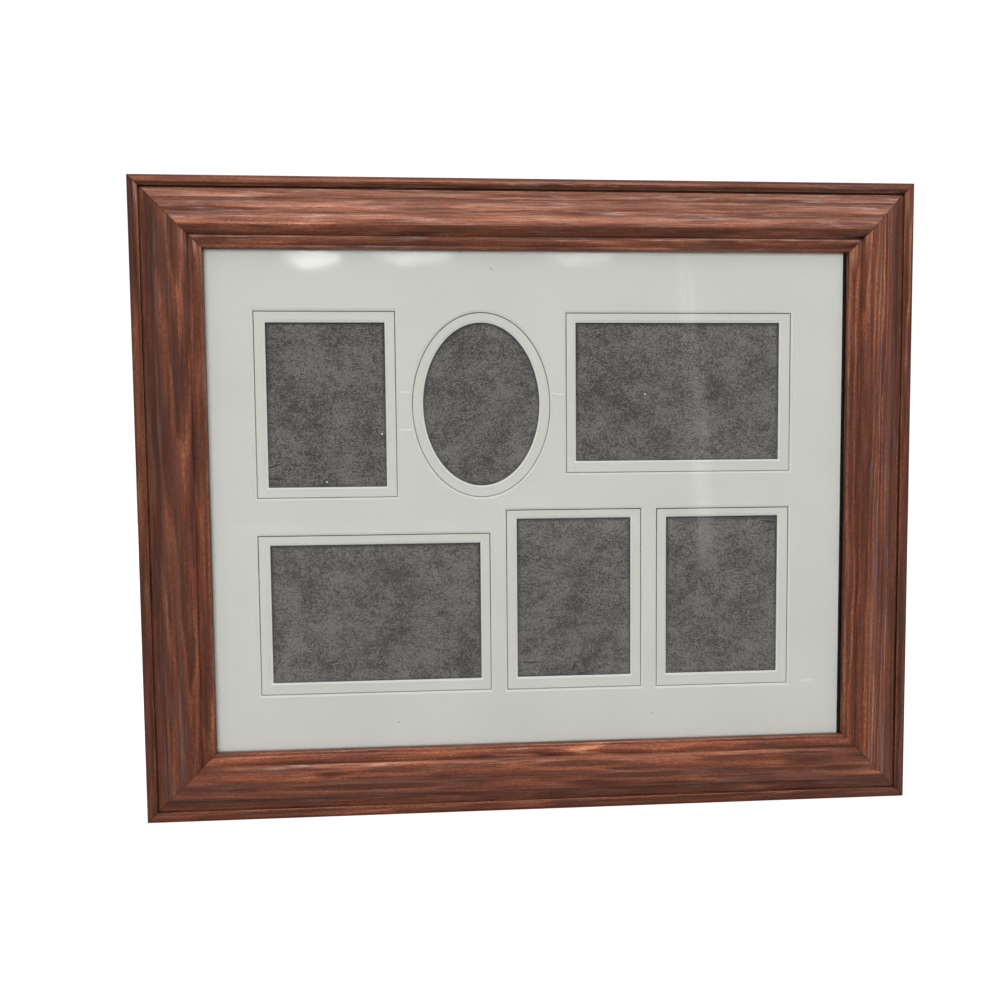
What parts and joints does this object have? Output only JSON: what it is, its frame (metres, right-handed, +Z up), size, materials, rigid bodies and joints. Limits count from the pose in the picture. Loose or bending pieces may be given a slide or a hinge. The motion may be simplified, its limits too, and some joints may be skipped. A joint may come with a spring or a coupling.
{
  "type": "collage photo frame",
  "caption": "Wall-hung collage photo frame: mitred moulded pine rails, glass, bevelled double mat with rectangular and oval windows, hardboard back on turn buttons.",
  "frame": {"origin": "middle notch of the sawtooth hanger, in the plane of the rails' backs, where the wall nail bears", "axes": "+X to the right seen from the front, +Y back towards the wall, +Z up; the face of the frame looks along -Y"},
  "size_m": [0.5454, 0.0235, 0.4444],
  "materials": {
    "stained_pine": "reddish-brown stain and satin varnish on pine, grain showing as orange streaks",
    "clear_glass": "clear float glass, polished faces",
    "mat_board": "off-white uncoated mat board with a white core at the bevels",
    "grey_sheet": "dark grey mottled fibrous sheet",
    "brown_card": "brown filler card",
    "hardboard": "smooth brown hardboard",
    "zinc_steel": "bright zinc-plated steel",
    "brass_plate": "brass-plated steel strip and nails",
    "black_felt": "black felt pad"
  },
  "bodies": {
    "frame": {"top_rail": "stained_pine", "bottom_rail": "stained_pine", "left_rail": "stained_pine", "right_rail": "stained_pine", "corner_v_nails": "zinc_steel", "glass": "clear_glass", "top_mat": "mat_board", "under_mat": "mat_board", "backing_sheet": "grey_sheet", "filler_board": "brown_card", "back_panel": "hardboard", "turn_button_screws": "zinc_steel", "sawtooth_hanger": "brass_plate", "hanger_nails": "brass_plate", "wall_bumpers": "black_felt"},
    "turn_button_1": {"turn_button_1": "zinc_steel"},
    "turn_button_2": {"turn_button_2": "zinc_steel"},
    "turn_button_3": {"turn_button_3": "zinc_steel"},
    "turn_button_4": {"turn_button_4": "zinc_steel"},
    "turn_button_5": {"turn_button_5": "zinc_steel"},
    "turn_button_6": {"turn_button_6": "zinc_steel"},
    "turn_button_7": {"turn_button_7": "zinc_steel"},
    "turn_button_8": {"turn_button_8": "zinc_steel"}
  },
  "joints": [
    {"name": "turn_button_1_turn", "type": "hinge", "parent": "frame", "child": "turn_button_1", "pos_m": [-0.12042, 0, -0.011], "axis": [0, 1, 0], "continuous": true},
    {"name": "turn_button_2_turn", "type": "hinge", "parent": "frame", "child": "turn_button_2", "pos_m": [0.12042, 0, -0.011], "axis": [0, 1, 0], "continuous": true},
    {"name": "turn_button_3_turn", "type": "hinge", "parent": "frame", "child": "turn_button_3", "pos_m": [0.2395, 0, -0.10685], "axis": [0, 1, 0], "continuous": true},
    {"name": "turn_button_4_turn", "type": "hinge", "parent": "frame", "child": "turn_button_4", "pos_m": [0.2395, 0, -0.29315], "axis": [0, 1, 0], "continuous": true},
    {"name": "turn_button_5_turn", "type": "hinge", "parent": "frame", "child": "turn_button_5", "pos_m": [0.12042, 0, -0.389], "axis": [0, 1, 0], "continuous": true},
    {"name": "turn_button_6_turn", "type": "hinge", "parent": "frame", "child": "turn_button_6", "pos_m": [-0.12042, 0, -0.389], "axis": [0, 1, 0], "continuous": true},
    {"name": "turn_button_7_turn", "type": "hinge", "parent": "frame", "child": "turn_button_7", "pos_m": [-0.2395, 0, -0.29315], "axis": [0, 1, 0], "continuous": true},
    {"name": "turn_button_8_turn", "type": "hinge", "parent": "frame", "child": "turn_button_8", "pos_m": [-0.2395, 0, -0.10685], "axis": [0, 1, 0], "continuous": true}
  ]
}
